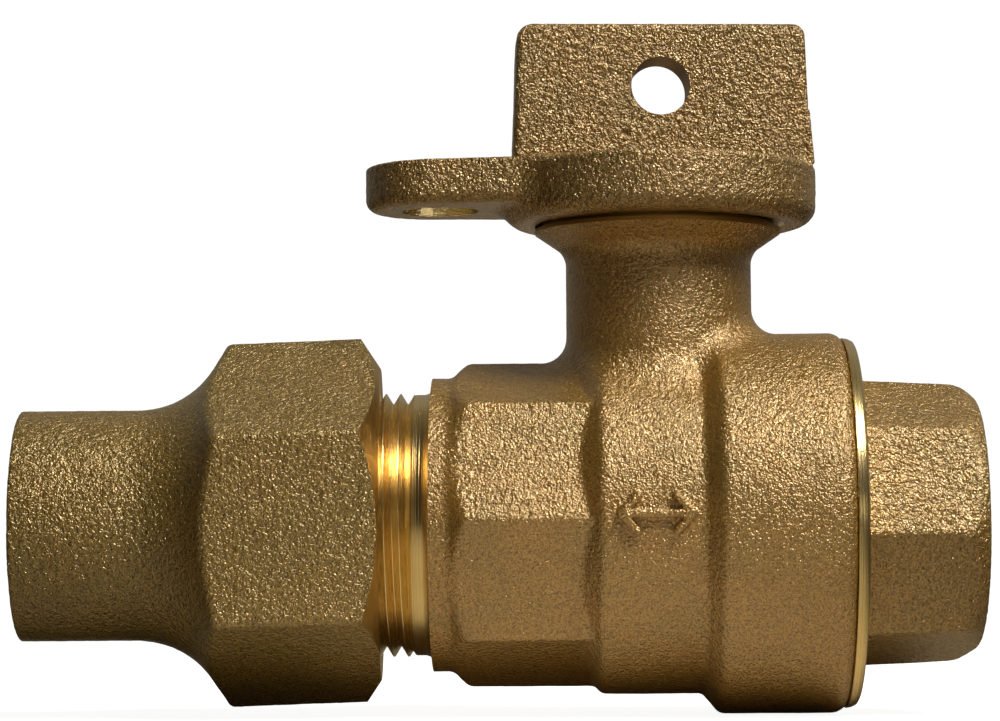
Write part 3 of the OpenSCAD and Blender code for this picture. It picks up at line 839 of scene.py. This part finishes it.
for node, axis, limits in ((w_back, "Y", (0.0, 0.7, 0.0, 0.23)), (w_up, "Z", (-0.1, 0.9, 0.012, 0.05))):
    t.links.new(w_split.outputs[axis], node.inputs["Value"])
    for key, value in zip(("From Min", "From Max", "To Min", "To Max"), limits):
        node.inputs[key].default_value = value
t.links.new(w_back.outputs["Result"], w_shine.inputs[0])
t.links.new(w_path.outputs["Is Glossy Ray"], w_shine.inputs[1])
t.links.new(w_shine.outputs[0], w_sum.inputs[0])
t.links.new(w_up.outputs["Result"], w_sum.inputs[1])
t.links.new(w_sum.outputs[0], w_room.inputs["Strength"])
w_room.inputs["Color"].default_value = (1.0, 0.94, 0.80, 1)
t.links.new(w_path.outputs["Is Camera Ray"], w_mix.inputs["Fac"])
t.links.new(w_room.outputs[0], w_mix.inputs[1])
t.links.new(w_seen.outputs[0], w_mix.inputs[2])
t.links.new(w_mix.outputs[0], w_out.inputs["Surface"])

floor_z = -23.62
floor = make_object("floor", [(-900, -900, floor_z), (900, -900, floor_z), (900, 900, floor_z), (-900, 900, floor_z)], [(0, 1, 2, 3)], [])
fm = Nodes("pale_floor")
path = fm.add("ShaderNodeLightPath").outputs["Is Camera Ray"]
glow = fm.add("ShaderNodeEmission")
glow.inputs["Strength"].default_value = 0.93
both = fm.add("ShaderNodeMixShader")
tone = fm.noise(40.0, 3.0)
side = fm.add("ShaderNodeSeparateXYZ")
fm.link(fm.coord, side.inputs[0])
spread = fm.add("ShaderNodeMapRange", interpolation_type="SMOOTHSTEP")
fm.link(side.outputs["X"], spread.inputs["Value"])
for key, value in (("From Min", -0.15), ("From Max", 0.0), ("To Min", 0.04), ("To Max", 0.74)):
    spread.inputs[key].default_value = value
fade = fm.add("ShaderNodeMapRange", interpolation_type="SMOOTHSTEP")
fm.link(side.outputs["X"], fade.inputs["Value"])
for key, value in (("From Min", 0.0), ("From Max", 0.075), ("To Min", 1.0), ("To Max", 0.06)):
    fade.inputs[key].default_value = value
bounce = fm.mix(fm.math("MULTIPLY", spread.outputs["Result"], fade.outputs["Result"]), (0, 0, 0), (1.0, 0.90, 0.70))
fm.finish(**{"Base Color": fm.mix(path, bounce, fm.ramp(tone, [(0.3, 0.62), (0.7, 0.66)])), "Roughness": 0.85, "Specular IOR Level": 0.1})
total = fm.add("ShaderNodeAddShader")
fm.link(fm.bsdf.outputs[0], total.inputs[0])
fm.link(glow.outputs[0], total.inputs[1])
fm.link(path, both.inputs["Fac"])
fm.link(fm.bsdf.outputs[0], both.inputs[1])
fm.link(total.outputs[0], both.inputs[2])
fm.link(both.outputs[0], fm.out.inputs["Surface"])
floor.data.materials.append(fm.mat)


def softbox(name, azimuth, elevation, distance, width, height, power, colour, aim=(-20, 0, 10)):
    """An area light; azimuth is measured to the right of the camera's side."""
    a, e = math.radians(azimuth), math.radians(elevation)
    away = Vector((math.sin(a) * math.cos(e), -math.cos(a) * math.cos(e), math.sin(e)))
    data = bpy.data.lights.new(name, "AREA")
    data.shape, data.size, data.size_y = "RECTANGLE", width, height
    data.energy, data.color = power, colour
    ob = bpy.data.objects.new(name, data)
    scene.collection.objects.link(ob)
    ob.location = Vector(aim) * MM + away * distance
    ob.rotation_mode = "QUATERNION"
    ob.rotation_quaternion = away.to_track_quat("Z", "Y")
    return ob


softbox("key", 45, 51, 0.95, 0.32, 0.36, 9.6, (1.0, 0.965, 0.90))
softbox("fill", 30, 6, 1.2, 0.4, 0.2, 0.5, (1.0, 0.90, 0.76))

# camera: pitch, yaw and roll about a flow axis that runs level across the picture
p, w, r = math.radians(4.6), math.radians(1.2), math.radians(0.3)
A = np.array([[math.cos(w), math.sin(w), 0], [0, 0, -1], [-math.sin(w), math.cos(w), 0]])
Rp = np.array([[1, 0, 0], [0, math.cos(p), math.sin(p)], [0, -math.sin(p), math.cos(p)]])
Rr = np.array([[math.cos(r), math.sin(r), 0], [-math.sin(r), math.cos(r), 0], [0, 0, 1]])
R = Rr @ Rp @ A
T = np.array([160.0, 163.0, 3100.0]) * 0.1241
place = -R.T @ T * MM
cam_data = bpy.data.cameras.new("camera")
cam_data.lens, cam_data.sensor_width, cam_data.sensor_fit = 111.6, 36.0, "HORIZONTAL"
cam_data.clip_start, cam_data.clip_end = 0.01, 20.0
camera = bpy.data.objects.new("camera", cam_data)
scene.collection.objects.link(camera)
camera.matrix_world = Matrix([[R[0][i], -R[1][i], -R[2][i], place[i]] for i in range(3)] + [[0, 0, 0, 1]])
scene.camera = camera

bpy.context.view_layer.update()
note("done")
